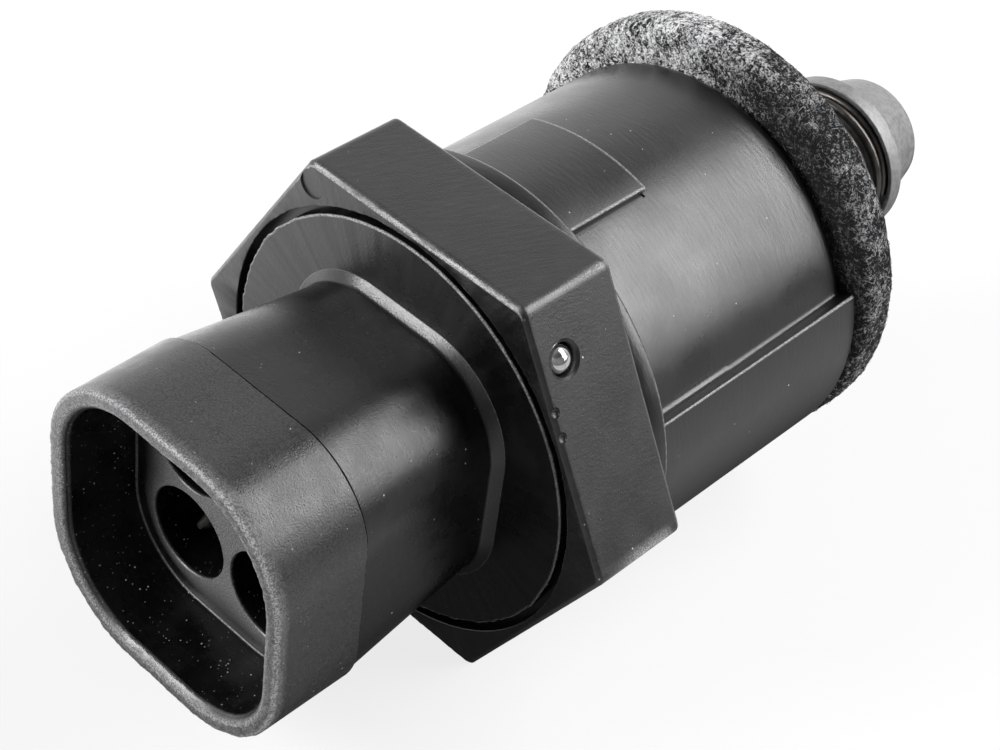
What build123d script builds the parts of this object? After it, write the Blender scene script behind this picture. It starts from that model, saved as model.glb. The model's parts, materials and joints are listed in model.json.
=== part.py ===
from build123d import *
import math
import os

# Idle air control valve. The valve's axis is X: the connector points to -X and the pintle to +X.
# The origin is on the axis, at the rear face of the hexagon, which seats on the intake body.
# One flat of the hexagon faces down, and Z points up.

# Hexagon and collar
hex_across_flats = 36.0
hex_thickness = 8.7
hex_corner_radius = 0.7
hex_edge_chamfer = 0.3
collar_step = 0.1
collar_height = 1.6
collar_chamfer = 0.35

# Can behind the hexagon
can_radius = 16.1
can_length = 24.6
can_end_radius = 1.3
end_wall = 2.0
can_wall = 1.5
pad_step = 0.75
pad_length = 8.6
pad_from_deg = 68.0
pad_to_deg = 108.0
land_step = 1.1
land_from_deg = 161.0
land_to_deg = 239.0
wedge_step_deg = 30.0
boss_radius = 10.4
boss_length = 5.6
spring_well_radius = 7.3

# Seat of the connector in the hexagon
flange_seat_wall = 0.7
flange_gap = 0.55
flange_thickness = 1.4
flange_ledge_width = 1.75
spigot_length = 3.3
seat_clearance = 0.05
clamp_ring_width = 2.2

# Moulded marks on the hexagon
ejector_mark_radius = 1.15
ejector_mark_depth = 0.15
ejector_mark_across = 10.0
ejector_mark_up = 16.1
ball_radius = 1.15
ball_depth = 1.0
ball_from_front = 2.4
ball_along_face = 5.8
ball_face_deg = 150.0
ball_mouth_radius = 1.4
ball_mouth_depth = 0.35

# Connector shroud, drafted neck and flared foot
foot_width = 21.9
foot_height = 22.5
foot_corner_radius = 7.8
foot_flare = 0.7
neck_length = 13.7
neck_step = 0.2
shroud_width = 23.7
shroud_height = 24.3
shroud_corner_radius = 8.8
shroud_rear_corner_radius = 6.9
shroud_draft = 0.5
shroud_length = 8.3
shroud_wall = 1.6
shroud_rim_radius = 0.4
cavity_depth = 6.2
cavity_lead_in = 0.5

# Wells and terminals
well_radius = 3.75
well_pitch = 8.3
well_depth = 9.0
terminal_radius = 0.75
terminal_point = 1.2
terminal_end_radius = 0.25
terminal_fit = 0.02
terminal_setback = 1.0
terminal_tab_width = 1.6
terminal_tab_thickness = 0.55
terminal_tab_setback = 1.0
terminal_tab_clearance = 0.15

# Seal ring in the spigot
seal_section_radius = 0.58
seal_groove_width = 1.5
seal_groove_depth = 1.2
seal_squeeze = 0.02

# Stepper motor, two phases back to back
plate_thickness = 2.25
stator_clearance = 0.2
air_gap = 0.4
sheet = 0.9
cup_wall = 0.8
claw_thickness = 0.8
claw_count = 6
claw_root_width = 5.2
claw_tip_width = 2.6
claw_end_gap = 0.5
bobbin_wall = 0.7
winding_setback = 0.65
winding_crown = 0.3
part_gap = 0.05
post_radius = 0.5
post_hole_radius = 0.8
post_from_tab_end = 0.7

# Rotor
magnet_outer_radius = 7.9
magnet_inner_radius = 5.0
magnet_setback = 1.2
magnet_fit = 0.02
magnet_chamfer = 0.3
rear_journal_radius = 2.9
hub_end_gap = 0.1
hub_shoulder_gap = 0.4
screw_radius = 2.0
screw_clearance = 0.06
rear_bush_radius = 4.5

# Ball bearing
bearing_outer_radius = 9.5
bearing_inner_radius = 4.0
bearing_width = 4.7
outer_race_wall = 1.6
inner_race_wall = 1.4
race_groove_depth = 0.17
bearing_end_gap = 0.3
journal_fit = 0.02
bearing_ball_count = 9
groove_clearance = 0.06
cage_thickness = 0.8
cage_width = 3.8
carrier_lip = 0.75
carrier_lip_width = 1.0

# Guide bush, screw, spring and pintle cap
guide_tube_radius = 4.95
guide_flange_gap = 0.3
guide_flange_thickness = 0.9
guide_snout_radius = 4.4
guide_snout_length = 3.7
guide_snout_chamfer = 0.4
screw_flat = 1.7
screw_length = 43.0
screw_thread_length = 7.5
screw_end_chamfer = 0.4
screw_end_gap = 0.1
cap_from_boss = 13.2
cap_flange_radius = 7.1
cap_flange_thickness = 1.6
cap_nose_root_radius = 6.3
cap_nose_tip_radius = 4.85
cap_length = 6.95
cap_tip_fillet = 0.8
cap_recess_depth = 0.7
cap_rim = 0.35
cap_hub_wall = 1.6
cap_bore_depth = 4.0
cap_fit = 0.02
cap_rear_chamfer = 0.15
cap_front_chamfer = 0.3
spring_wire_radius = 0.4
spring_radius = 6.1
spring_turns = 11.5
spring_seat_gap = 0.02

# Felt gasket, loose on the boss
felt_radius = 17.9
felt_thickness = 3.8
felt_edge_radius = 1.1
felt_lift = 1.3
felt_gap = 0.1

# Places along the axis, worked out from the sizes above
hex_apothem = hex_across_flats / 2
collar_radius = hex_apothem - collar_step
hex_front = -hex_thickness
beyond = 2 * hex_across_flats
ledge = hex_front + flange_thickness
spigot_end = ledge + spigot_length
foot_front = hex_front - foot_flare
shroud_rear = hex_front - neck_length
rim = shroud_rear - shroud_length
cavity_floor = rim + cavity_depth
end_wall_inner = can_length - end_wall
boss_end = can_length + boss_length
plate_front = spigot_end + terminal_tab_thickness + terminal_tab_clearance
rear_phase_start = plate_front + plate_thickness
bearing_end = end_wall_inner - bearing_end_gap
bearing_start = bearing_end - bearing_width
bearing_middle = (bearing_start + bearing_end) / 2
front_phase_end = bearing_start - carrier_lip - 2 * part_gap
phase_middle = (rear_phase_start + front_phase_end) / 2
magnet_start = rear_phase_start + magnet_setback
magnet_end = front_phase_end - magnet_setback
guide_flange_end = can_length + guide_flange_thickness
cap_front = boss_end + cap_from_boss
screw_end = cap_front + cap_bore_depth - screw_end_gap
screw_start = screw_end - screw_length

# Radii of pieces that fit in one another
motor_bore_radius = can_radius - can_wall
flange_seat_radius = hex_apothem - flange_seat_wall
flange_radius = flange_seat_radius - flange_gap
spigot_bore_radius = flange_seat_radius - flange_ledge_width
spigot_radius = spigot_bore_radius - seat_clearance
stator_radius = motor_bore_radius - stator_clearance
cup_inner_radius = stator_radius - cup_wall
stator_inner_radius = magnet_outer_radius + air_gap
clamp_ring_inner_radius = stator_radius - clamp_ring_width
terminal_tab_reach = clamp_ring_inner_radius - terminal_tab_setback
post_circle_radius = terminal_tab_reach - post_from_tab_end
bobbin_rim_radius = cup_inner_radius - part_gap
bobbin_bore_radius = stator_inner_radius + claw_thickness + part_gap
front_journal_radius = bearing_inner_radius - journal_fit
race_outer_inner_radius = bearing_outer_radius - outer_race_wall
race_inner_outer_radius = bearing_inner_radius + inner_race_wall
ball_circle_radius = (race_outer_inner_radius + race_inner_outer_radius) / 2
bearing_ball_radius = (race_outer_inner_radius - race_inner_outer_radius) / 2 + race_groove_depth
guide_flange_radius = spring_well_radius - guide_flange_gap
screw_bore_radius = screw_radius + screw_clearance


def tube(start, end, outer, inner=0.0):
    """Round tube or rod along the axis."""
    face = Circle(outer) - Circle(inner) if inner else Circle(outer)
    return extrude(Plane.YZ.offset(start) * face, end - start)


def turned(outline):
    """Solid of revolution about the axis, from (distance along the axis, radius) points."""
    face = make_face(Polyline(*[(x, 0, r) for x, r in outline], close=True))
    return revolve(face, Axis.X, 360)


def drafted(start, start_sizes, end, end_sizes):
    """Rounded rectangular form between two (width, height, corner radius) outlines."""
    outlines = Sketch() + [
        Plane.YZ.offset(start) * RectangleRounded(*start_sizes),
        Plane.YZ.offset(end) * RectangleRounded(*end_sizes),
    ]
    return loft(outlines)


def inset(sizes, wall):
    """The (width, height, corner radius) outline that lies inside another by a wall."""
    width, height, corner = sizes
    return width - 2 * wall, height - 2 * wall, corner - wall


def around(shape, degrees):
    return Rot(X=degrees) * shape


def wedge(start, end, from_deg, to_deg):
    """Sector of a disc that reaches beyond the part, angles counted from +Y towards +Z."""
    corners = [(0, 0)]
    steps = max(2, math.ceil((to_deg - from_deg) / wedge_step_deg))
    for i in range(steps + 1):
        angle = math.radians(from_deg + (to_deg - from_deg) * i / steps)
        corners.append((beyond * math.cos(angle), beyond * math.sin(angle)))
    face = make_face(Polyline(*corners, close=True))
    return extrude(Plane.YZ.offset(start) * face, end - start)


def well_centres():
    half = well_pitch / 2
    return [(half, half), (-half, half), (-half, -half), (half, -half)]


def ball_frame(depth):
    """Plane on the hexagon face that carries the sealing ball, facing outwards."""
    angle = math.radians(ball_face_deg)
    normal = Vector(0, math.cos(angle), math.sin(angle))
    along = Vector(0, -math.sin(angle), math.cos(angle))
    place = normal * (hex_apothem - depth) - along * ball_along_face
    place += Vector(hex_front + ball_from_front, 0, 0)
    return Plane(origin=place, x_dir=(1, 0, 0), z_dir=normal)


def hex_housing():
    outline = RegularPolygon(hex_apothem, 6, major_radius=False)
    outline = fillet(outline.vertices(), hex_corner_radius)
    hexagon = extrude(Plane.YZ.offset(hex_front) * outline, hex_thickness)
    ends = hexagon.edges().group_by(Axis.X)
    hexagon = chamfer(ends[0] + ends[-1], hex_edge_chamfer)
    collar = tube(0, collar_height, collar_radius)
    collar = chamfer(collar.edges().group_by(Axis.X)[-1], collar_chamfer)
    can = tube(0, can_length, can_radius)
    can = fillet(can.edges().group_by(Axis.X)[-1], can_end_radius)
    pad_ring = tube(0, collar_height + pad_length, can_radius + pad_step, motor_bore_radius)
    pad = pad_ring & wedge(0, can_length, pad_from_deg, pad_to_deg)
    land_ring = tube(0, can_length, can_radius + land_step, can_radius - can_end_radius)
    land = land_ring & wedge(0, can_length, land_from_deg, land_to_deg)
    boss = tube(end_wall_inner, boss_end, boss_radius)
    body = hexagon + collar + can + pad + land + boss
    body -= tube(hex_front, ledge, flange_seat_radius)
    body -= tube(ledge, spigot_end, spigot_bore_radius)
    body -= tube(spigot_end, end_wall_inner, motor_bore_radius)
    body -= tube(end_wall_inner, can_length, guide_tube_radius + part_gap)
    body -= tube(can_length, boss_end, spring_well_radius)
    body -= ball_frame(0) * Pos(0, 0, -ball_depth) * Cylinder(
        ball_radius + part_gap, ball_depth, align=(Align.CENTER, Align.CENTER, Align.MIN)
    )
    body -= ball_frame(ball_depth) * Sphere(ball_radius + part_gap)
    body -= ball_frame(0) * Pos(0, 0, -ball_mouth_depth) * Cylinder(
        ball_mouth_radius, ball_mouth_depth, align=(Align.CENTER, Align.CENTER, Align.MIN)
    )
    mark = Pos(ejector_mark_across, ejector_mark_up) * Circle(ejector_mark_radius)
    body -= extrude(Plane.YZ.offset(hex_front) * mark, ejector_mark_depth)
    return body


def sealing_ball():
    return ball_frame(ball_depth) * Sphere(ball_radius)


def connector_shell():
    flange = tube(hex_front, ledge, flange_radius)
    spigot = tube(ledge, spigot_end, spigot_radius)
    clamp_ring = tube(spigot_end, plate_front, stator_radius, clamp_ring_inner_radius)
    foot_sizes = (foot_width, foot_height, foot_corner_radius)
    rim_sizes = (shroud_width, shroud_height, shroud_corner_radius)
    rear_width, rear_height, _ = inset(rim_sizes, shroud_draft)
    rear_sizes = (rear_width, rear_height, shroud_rear_corner_radius)
    neck_front_sizes = inset(foot_sizes, foot_flare)
    foot = drafted(foot_front, neck_front_sizes, hex_front, foot_sizes)
    neck = drafted(shroud_rear, inset(rear_sizes, neck_step), foot_front, neck_front_sizes)
    shroud = drafted(rim, rim_sizes, shroud_rear, rear_sizes)
    shroud = fillet(shroud.edges().group_by(Axis.X)[0], shroud_rim_radius)
    body = flange + spigot + clamp_ring + foot + neck + shroud
    mouth_sizes = inset(rim_sizes, shroud_wall)
    floor_sizes = inset(mouth_sizes, shroud_draft * cavity_depth / shroud_length)
    body -= drafted(rim, mouth_sizes, cavity_floor, floor_sizes)
    mouth = body.faces().sort_by(Axis.X)[0].inner_wires()[0].edges()
    body = chamfer(mouth, cavity_lead_in)
    for y, z in well_centres():
        well = Pos(0, y, z) * tube(cavity_floor, cavity_floor + well_depth, well_radius)
        slot = Pos(0, y, z) * tube(cavity_floor, spigot_end, terminal_radius + terminal_fit)
        body -= well + slot
    seal_middle = (ledge + spigot_end) / 2
    groove = tube(
        seal_middle - seal_groove_width / 2,
        seal_middle + seal_groove_width / 2,
        spigot_bore_radius,
        spigot_radius - seal_groove_depth,
    )
    return body - groove


def connector_seal():
    ring_radius = spigot_bore_radius - seal_section_radius - seal_squeeze
    section = Plane.XZ * Pos((ledge + spigot_end) / 2, ring_radius) * Circle(seal_section_radius)
    return revolve(section, Axis.X, 360)


def terminal(y, z):
    """Round contact pin with a pointed tip and a tab at its inner end."""
    tip = cavity_floor + terminal_setback
    pin = turned([
        (tip, 0),
        (tip, terminal_end_radius),
        (tip + terminal_point, terminal_radius),
        (spigot_end + terminal_tab_thickness, terminal_radius),
        (spigot_end + terminal_tab_thickness, 0),
    ])
    out = math.hypot(y, z)
    tab = Pos(spigot_end, 0, 0) * Box(
        terminal_tab_thickness,
        terminal_tab_reach - out,
        terminal_tab_width,
        align=(Align.MIN, Align.MIN, Align.CENTER),
    )
    return Pos(0, y, z) * (pin + around(tab, math.degrees(math.atan2(z, y))))


def post_places():
    return [around(Pos(0, post_circle_radius, 0), 45 + 90 * i) for i in range(4)]


def rear_plate():
    plate = tube(plate_front, rear_phase_start - part_gap, stator_radius, rear_bush_radius + part_gap)
    for place in post_places():
        plate -= place * tube(plate_front, rear_phase_start, post_hole_radius)
    return plate


def rear_bush():
    return tube(plate_front, rear_phase_start - part_gap, rear_bush_radius, rear_journal_radius + part_gap)


def claws(root, tip, first_deg):
    """Ring of tapered pole claws that run along the rotor from root to tip."""
    ring = tube(min(root, tip), max(root, tip), stator_inner_radius + claw_thickness, stator_inner_radius)
    profile = make_face(Polyline(
        (root, -claw_root_width / 2),
        (tip, -claw_tip_width / 2),
        (tip, claw_tip_width / 2),
        (root, claw_root_width / 2),
        close=True,
    ))
    cutter = Pos(0, 0, stator_inner_radius / 2) * extrude(profile, stator_inner_radius)
    claw = ring & cutter
    return [around(claw, first_deg + 360 / claw_count * i) for i in range(claw_count)]


def stator_cup(with_posts):
    """Rear cup: end disc, outer wall and claws. The front cup is its mirror image."""
    disc_end = rear_phase_start + sheet
    disc = tube(rear_phase_start, disc_end, stator_radius, stator_inner_radius)
    wall = tube(disc_end, phase_middle, stator_radius, cup_inner_radius)
    cup = disc + wall
    for claw in claws(disc_end, phase_middle - sheet - claw_end_gap, 0):
        cup += claw
    if with_posts:
        for place in post_places():
            cup -= place * tube(rear_phase_start, disc_end, post_hole_radius)
    return cup


def pole_plate():
    """Middle plate of the rear phase, with claws between those of the cup."""
    disc_start = phase_middle - sheet
    plate = tube(disc_start, phase_middle, bobbin_rim_radius, stator_inner_radius)
    for claw in claws(disc_start, rear_phase_start + sheet + claw_end_gap, 180 / claw_count):
        plate += claw
    return plate


def bobbin(with_posts):
    start = rear_phase_start + sheet + part_gap
    end = phase_middle - sheet - part_gap
    core = bobbin_bore_radius + bobbin_wall
    spool = turned([
        (start, bobbin_bore_radius),
        (start, bobbin_rim_radius),
        (start + bobbin_wall, bobbin_rim_radius),
        (start + bobbin_wall, core),
        (end - bobbin_wall, core),
        (end - bobbin_wall, bobbin_rim_radius),
        (end, bobbin_rim_radius),
        (end, bobbin_bore_radius),
    ])
    if with_posts:
        for place in post_places():
            spool += place * tube(spigot_end + terminal_tab_thickness + part_gap, start, post_radius)
    return spool


def winding():
    start = rear_phase_start + sheet + bobbin_wall + 2 * part_gap
    end = phase_middle - sheet - bobbin_wall - 2 * part_gap
    inner = bobbin_bore_radius + bobbin_wall + part_gap
    outer = bobbin_rim_radius - winding_setback
    return turned([
        (start, inner),
        (start, outer - winding_crown),
        (start + winding_crown, outer),
        (end - winding_crown, outer),
        (end, outer - winding_crown),
        (end, inner),
    ])


def to_front_phase(shape):
    """The front phase mirrors the rear one and is turned by half a claw."""
    return around(mirror(shape, about=Plane.YZ.offset(phase_middle)), 90 / claw_count)


def bearing_carrier():
    lip_end = bearing_start - part_gap
    lip_radius = bearing_outer_radius - carrier_lip_width
    pocket = bearing_outer_radius + part_gap / 2
    return turned([
        (front_phase_end + part_gap, lip_radius),
        (front_phase_end + part_gap, stator_radius),
        (end_wall_inner - part_gap, stator_radius),
        (end_wall_inner - part_gap, pocket),
        (lip_end, pocket),
        (lip_end, lip_radius),
    ])


def ball_groove(radius):
    section = Plane.XZ * Pos(bearing_middle, ball_circle_radius) * Circle(radius)
    return revolve(section, Axis.X, 360)


def bearing_outer_race():
    race = tube(bearing_start, bearing_end, bearing_outer_radius, race_outer_inner_radius)
    return race - ball_groove(bearing_ball_radius + groove_clearance)


def bearing_inner_race():
    race = tube(bearing_start, bearing_end, race_inner_outer_radius, bearing_inner_radius)
    return race - ball_groove(bearing_ball_radius + groove_clearance)


def ball_places():
    step = 360 / bearing_ball_count
    return [around(Pos(bearing_middle, ball_circle_radius, 0), step * i) for i in range(bearing_ball_count)]


def bearing_balls():
    return Compound(children=[place * Sphere(bearing_ball_radius) for place in ball_places()])


def bearing_cage():
    inner = ball_circle_radius - cage_thickness / 2
    outer = ball_circle_radius + cage_thickness / 2
    cage = tube(bearing_middle - cage_width / 2, bearing_middle + cage_width / 2, outer, inner)
    for place in ball_places():
        cage -= place * Sphere(bearing_ball_radius + groove_clearance)
    return cage


def rotor_hub():
    """Threaded hub: rear journal, magnet seat, shoulder for the bearing and front journal."""
    body_radius = magnet_inner_radius - magnet_fit
    start = plate_front + hub_end_gap
    body_start = rear_phase_start + hub_shoulder_gap
    body_end = bearing_start - part_gap
    end = bearing_end - hub_end_gap
    return turned([
        (start, screw_bore_radius),
        (start, rear_journal_radius),
        (body_start, rear_journal_radius),
        (body_start, body_radius),
        (body_end, body_radius),
        (body_end, front_journal_radius),
        (end, front_journal_radius),
        (end, screw_bore_radius),
    ])


def rotor_magnet():
    magnet = tube(magnet_start, magnet_end, magnet_outer_radius, magnet_inner_radius)
    outer_edges = magnet.edges().filter_by(GeomType.CIRCLE).group_by(lambda edge: edge.radius)[-1]
    return chamfer(outer_edges, magnet_chamfer)


def flatted_rod(start, end, radius, flat):
    return extrude(Plane.YZ.offset(start) * (Circle(radius) & Rectangle(4 * radius, 2 * flat)), end - start)


def guide_bush():
    snout_end = guide_flange_end + guide_snout_length
    body = tube(end_wall_inner + hub_end_gap, can_length, guide_tube_radius)
    body += tube(can_length, guide_flange_end, guide_flange_radius)
    snout = tube(guide_flange_end, snout_end, guide_snout_radius)
    body += chamfer(snout.edges().group_by(Axis.X)[-1], guide_snout_chamfer)
    bore = flatted_rod(end_wall_inner, snout_end, screw_radius + part_gap, screw_flat + part_gap)
    return body - bore


def lead_screw():
    flats_start = screw_start + screw_thread_length
    rear = tube(screw_start, flats_start, screw_radius)
    rear = chamfer(rear.edges().group_by(Axis.X)[0], screw_end_chamfer)
    middle = flatted_rod(flats_start, cap_front, screw_radius, screw_flat)
    return rear + middle + tube(cap_front, screw_end, screw_radius)


def pintle_cap():
    tip = cap_front + cap_length
    nose_root = cap_front + cap_flange_thickness
    cap = turned([
        (cap_front, 0),
        (cap_front, cap_flange_radius - cap_rear_chamfer),
        (cap_front + cap_rear_chamfer, cap_flange_radius),
        (nose_root - cap_front_chamfer, cap_flange_radius),
        (nose_root, cap_flange_radius - cap_front_chamfer),
        (nose_root, cap_nose_root_radius),
        (tip, cap_nose_tip_radius),
        (tip, 0),
    ])
    cap = fillet(cap.edges().group_by(Axis.X)[-1], cap_tip_fillet)
    recess_radius = cap_flange_radius - cap_rim
    recess = tube(cap_front, cap_front + cap_recess_depth, recess_radius, screw_radius + cap_hub_wall)
    bore = tube(cap_front, cap_front + cap_bore_depth, screw_radius + cap_fit)
    return cap - recess - bore


def pintle_spring():
    start = guide_flange_end + spring_wire_radius + spring_seat_gap
    end = cap_front + cap_recess_depth - spring_wire_radius - spring_seat_gap
    length = end - start
    path = Helix(length / spring_turns, length, spring_radius, center=(start, 0, 0), direction=(1, 0, 0))
    section = Plane(origin=path @ 0, z_dir=path % 0) * Circle(spring_wire_radius)
    return sweep(section, path=path)


def felt_gasket():
    start = can_length + felt_gap
    disc = tube(start, start + felt_thickness, felt_radius)
    disc = fillet(disc.edges().filter_by(GeomType.CIRCLE), felt_edge_radius)
    bore = tube(start, start + felt_thickness, boss_radius + felt_lift + felt_gap)
    return Pos(0, 0, felt_lift) * (disc - bore)


parts = {
    "hex_housing": hex_housing(),
    "sealing_ball": sealing_ball(),
    "connector_shell": connector_shell(),
    "connector_seal": connector_seal(),
    "rear_plate": rear_plate(),
    "rear_bush": rear_bush(),
    "rear_stator_cup": stator_cup(True),
    "rear_pole_plate": pole_plate(),
    "rear_bobbin": bobbin(True),
    "rear_winding": winding(),
    "front_pole_plate": to_front_phase(pole_plate()),
    "front_bobbin": to_front_phase(bobbin(False)),
    "front_winding": to_front_phase(winding()),
    "front_stator_cup": to_front_phase(stator_cup(False)),
    "bearing_carrier": bearing_carrier(),
    "bearing_outer_race": bearing_outer_race(),
    "bearing_inner_race": bearing_inner_race(),
    "bearing_balls": bearing_balls(),
    "bearing_cage": bearing_cage(),
    "rotor_hub": rotor_hub(),
    "rotor_magnet": rotor_magnet(),
    "guide_bush": guide_bush(),
    "lead_screw": lead_screw(),
    "pintle_cap": pintle_cap(),
    "pintle_spring": pintle_spring(),
    "felt_gasket": felt_gasket(),
}
for number, (y, z) in enumerate(well_centres(), start=1):
    parts[f"terminal_{number}"] = terminal(y, z)

os.makedirs("parts", exist_ok=True)
for name, shape in parts.items():
    export_step(shape, f"parts/{name}.step")
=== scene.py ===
import bpy
import bmesh
import json
import math
import numpy as np
from mathutils import Matrix, Quaternion, Vector, noise


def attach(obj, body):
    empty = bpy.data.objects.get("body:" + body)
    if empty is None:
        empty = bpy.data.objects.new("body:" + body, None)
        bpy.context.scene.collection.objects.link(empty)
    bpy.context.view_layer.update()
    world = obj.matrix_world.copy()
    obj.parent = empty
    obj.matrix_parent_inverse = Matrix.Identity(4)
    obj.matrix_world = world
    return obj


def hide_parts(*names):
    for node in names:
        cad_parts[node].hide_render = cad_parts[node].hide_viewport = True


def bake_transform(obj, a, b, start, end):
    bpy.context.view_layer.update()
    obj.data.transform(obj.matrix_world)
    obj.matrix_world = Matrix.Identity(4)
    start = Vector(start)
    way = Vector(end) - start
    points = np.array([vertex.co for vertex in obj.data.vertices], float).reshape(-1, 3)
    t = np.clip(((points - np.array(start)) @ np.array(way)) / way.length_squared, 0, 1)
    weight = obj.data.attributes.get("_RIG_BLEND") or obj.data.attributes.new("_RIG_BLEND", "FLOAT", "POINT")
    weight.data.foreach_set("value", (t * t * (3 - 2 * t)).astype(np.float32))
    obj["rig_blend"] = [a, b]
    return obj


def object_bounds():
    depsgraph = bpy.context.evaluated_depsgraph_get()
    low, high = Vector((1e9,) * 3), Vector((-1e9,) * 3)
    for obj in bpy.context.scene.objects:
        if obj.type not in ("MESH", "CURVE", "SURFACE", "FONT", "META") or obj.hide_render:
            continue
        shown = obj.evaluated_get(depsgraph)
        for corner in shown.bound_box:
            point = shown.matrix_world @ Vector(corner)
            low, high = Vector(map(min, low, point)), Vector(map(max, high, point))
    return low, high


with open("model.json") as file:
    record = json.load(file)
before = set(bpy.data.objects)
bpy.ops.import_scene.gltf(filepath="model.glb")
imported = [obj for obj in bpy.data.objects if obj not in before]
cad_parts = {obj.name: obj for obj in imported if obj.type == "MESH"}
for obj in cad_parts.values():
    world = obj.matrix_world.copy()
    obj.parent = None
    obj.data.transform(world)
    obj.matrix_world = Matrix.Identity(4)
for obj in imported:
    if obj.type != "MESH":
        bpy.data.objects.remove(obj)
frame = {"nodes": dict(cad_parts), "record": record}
cadLow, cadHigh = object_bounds()
nodes = frame["nodes"]
mm = 0.001
print("frame loaded:", len(nodes), "nodes")


# Camera first, at the photograph's place and lens
cameraView = {
    "place": (-96.96, -79.32, 113.49),
    "aim": (1.81, -0.96, -0.54),
    "rollDeg": 8.38,
    "lensMm": 80.5,
    "clip": (0.01, 20.0),
}


def placeObject(name, data):
    made = bpy.data.objects.new(name, data)
    bpy.context.scene.collection.objects.link(made)
    return made


def makeCamera(view):
    data = bpy.data.cameras.new("photoCamera")
    data.lens = view["lensMm"]
    data.clip_start, data.clip_end = view["clip"]
    camera = placeObject("photoCamera", data)
    place = Vector(view["place"]) * mm
    look = (Vector(view["aim"]) * mm - place).to_track_quat("-Z", "Y")
    camera.location = place
    camera.rotation_mode = "QUATERNION"
    camera.rotation_quaternion = look @ Quaternion((0, 0, 1), math.radians(view["rollDeg"]))
    bpy.context.scene.camera = camera


makeCamera(cameraView)


# Small tools for node trees
def addNode(tree, kind, **settings):
    node = tree.nodes.new(kind)
    for key, value in settings.items():
        if key in node.bl_rna.properties:
            setattr(node, key, value)
        else:
            node.inputs[key.replace("_", " ")].default_value = value
    return node


def feed(tree, socket, value):
    if isinstance(value, (int, float, tuple, list, Vector)):
        socket.default_value = value
    else:
        tree.links.new(value, socket)


def mathNode(tree, operation, first, second=None, clamp=False):
    node = addNode(tree, "ShaderNodeMath", operation=operation, use_clamp=clamp)
    feed(tree, node.inputs[0], first)
    if second is not None:
        feed(tree, node.inputs[1], second)
    return node.outputs[0]


def rampNode(tree, value, low, high, toLow=0.0, toHigh=1.0, smooth=True):
    node = addNode(tree, "ShaderNodeMapRange", interpolation_type="SMOOTHSTEP" if smooth else "LINEAR")
    for name, number in (("From Min", low), ("From Max", high), ("To Min", toLow), ("To Max", toHigh)):
        feed(tree, node.inputs[name], number)
    feed(tree, node.inputs["Value"], value)
    return node.outputs["Result"]


def mixColor(tree, factor, first, second):
    node = addNode(tree, "ShaderNodeMix", data_type="RGBA")
    for place, value in ((0, factor), (6, first), (7, second)):
        feed(tree, node.inputs[place], value)
    return node.outputs[2]


def weightedSum(tree, terms):
    total = None
    for value, share in terms:
        term = mathNode(tree, "MULTIPLY", value, share)
        total = term if total is None else mathNode(tree, "ADD", total, term)
    return total


def objectPlace(tree):
    return addNode(tree, "ShaderNodeTexCoord").outputs["Object"]


def splitPlace(tree, place):
    parts = addNode(tree, "ShaderNodeSeparateXYZ")
    tree.links.new(place, parts.inputs[0])
    return parts.outputs


def noiseAt(tree, place, scale, **settings):
    node = addNode(tree, "ShaderNodeTexNoise", **settings)
    tree.links.new(place, node.inputs["Vector"])
    feed(tree, node.inputs["Scale"], scale)
    return node.outputs[0]


def addBump(tree, shader, height, strength, depth):
    bump = addNode(tree, "ShaderNodeBump", Strength=strength, Distance=depth * mm)
    tree.links.new(height, bump.inputs["Height"])
    tree.links.new(bump.outputs[0], shader.inputs["Normal"])


def newMaterial(name):
    material = bpy.data.materials.new(name)
    material.use_nodes = True
    tree = material.node_tree
    return material, tree, tree.nodes["Principled BSDF"]


def newGroup(name, inputs, outputs):
    group = bpy.data.node_groups.new(name, "ShaderNodeTree")
    for label, value in inputs:
        socket = group.interface.new_socket(label, in_out="INPUT", socket_type="NodeSocketFloat")
        socket.default_value = value
    for label in outputs:
        group.interface.new_socket(label, in_out="OUTPUT", socket_type="NodeSocketFloat")
    start = addNode(group, "NodeGroupInput")
    end = addNode(group, "NodeGroupOutput")
    return group, start.outputs, end.inputs


def useGroup(tree, group, **values):
    node = addNode(tree, "ShaderNodeGroup", node_tree=group)
    for key, value in values.items():
        feed(tree, node.inputs[key], value)
    return node.outputs


# Shared effects
unrollRadius = 16.0


def makeStrokeGroup():
    group, given, made = newGroup(
        "mouldStrokes",
        [("Scale", 2600.0), ("Turn", 0.6), ("Stretch", 9.0), ("Round", 0.0)],
        ["Height", "Mask"],
    )
    place = objectPlace(group)
    turn = addNode(group, "ShaderNodeVectorRotate", rotation_type="AXIS_ANGLE", Axis=(0.2, 0.35, 1.0))
    group.links.new(place, turn.inputs["Vector"])
    group.links.new(given["Turn"], turn.inputs["Angle"])
    # The same place unrolled about the axis, so that strokes can run round the can
    parts = splitPlace(group, place)
    angle = mathNode(group, "ARCTAN2", parts["Y"], parts["Z"])
    unrolled = addNode(group, "ShaderNodeCombineXYZ")
    group.links.new(mathNode(group, "MULTIPLY", angle, unrollRadius * mm), unrolled.inputs["X"])
    group.links.new(parts["X"], unrolled.inputs["Y"])
    choice = addNode(group, "ShaderNodeMix", data_type="VECTOR")
    group.links.new(given["Round"], choice.inputs[0])
    group.links.new(turn.outputs[0], choice.inputs[4])
    group.links.new(unrolled.outputs[0], choice.inputs[5])
    spread = addNode(group, "ShaderNodeCombineXYZ", Y=1.0, Z=1.0)
    group.links.new(given["Stretch"], spread.inputs["X"])
    stretch = addNode(group, "ShaderNodeVectorMath", operation="DIVIDE")
    group.links.new(choice.outputs[1], stretch.inputs[0])
    group.links.new(spread.outputs[0], stretch.inputs[1])
    fine = noiseAt(group, stretch.outputs[0], given["Scale"], Detail=3.0, Roughness=0.6, Distortion=0.3)
    group.links.new(fine, made["Height"])
    group.links.new(rampNode(group, fine, 0.6, 0.74), made["Mask"])
    return group


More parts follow.
